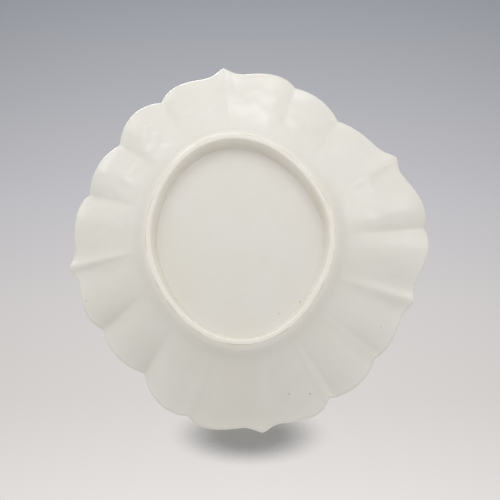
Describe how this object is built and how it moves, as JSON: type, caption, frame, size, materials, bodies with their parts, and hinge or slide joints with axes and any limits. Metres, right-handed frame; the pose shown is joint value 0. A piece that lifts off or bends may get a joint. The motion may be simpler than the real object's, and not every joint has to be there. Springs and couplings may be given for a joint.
{
  "type": "scalloped dessert plate",
  "caption": "Shallow porcelain plate with a lobed, pointed outline, a flat well, a fluted sloping wall and an egg-shaped foot ring.",
  "frame": {"origin": "middle of the plate's outline, at the height of the table that the foot ring stands on", "axes": "+Z up, out of the well; +Y towards the top tip along the length; +X to the side, so the underside seen with +Y up has +X on the left"},
  "size_m": [0.195, 0.2064, 0.028],
  "materials": {
    "dish_glaze": "clear glossy glaze over a warm grey-white porcelain body",
    "foot_glaze": "clear glaze on the walls, thinner and creamier towards the ground crest"
  },
  "bodies": {
    "root": {"dish": "dish_glaze", "foot_ring": "foot_glaze"}
  },
  "joints": []
}
